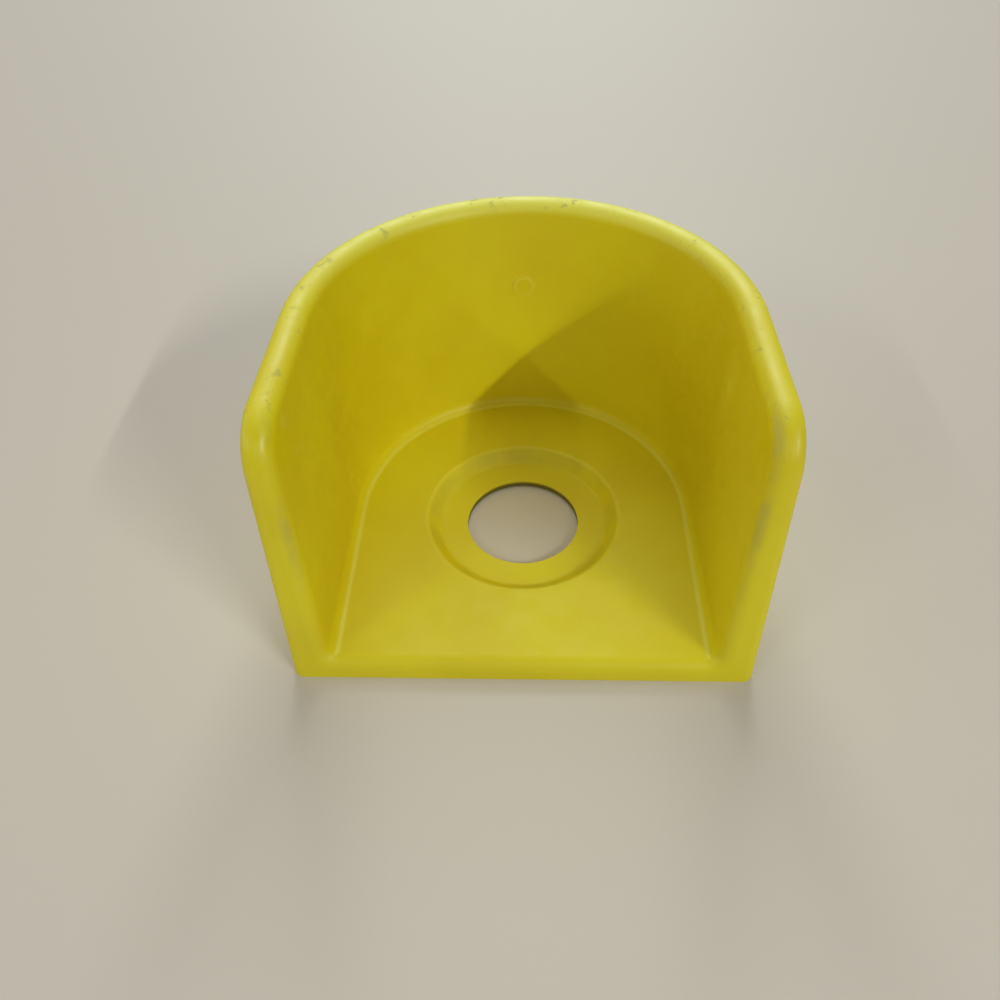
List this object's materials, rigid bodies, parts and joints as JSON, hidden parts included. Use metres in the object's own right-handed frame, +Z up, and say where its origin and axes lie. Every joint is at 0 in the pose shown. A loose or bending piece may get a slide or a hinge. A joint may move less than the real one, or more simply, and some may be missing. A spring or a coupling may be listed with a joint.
{
  "type": "push button guard",
  "caption": "One-piece moulded guard: a horseshoe wall on a flat floor with a countersunk hole, clamped under a palm push button to stop accidental presses.",
  "frame": {"origin": "centre of the button hole at the underside face that rests on the panel", "axes": "+Z up off the panel along the button hole, -Y out of the guard's open front, +X across the two straight walls; mounted on an upright panel, +Z points at the operator"},
  "size_m": [0.1096, 0.1055, 0.0695],
  "materials": {
    "yellow_plastic": "satin injection-moulded safety yellow, coloured right through, with light handling scuffs on the rim"
  },
  "bodies": {
    "root": {"guard_body": "yellow_plastic"}
  },
  "joints": []
}
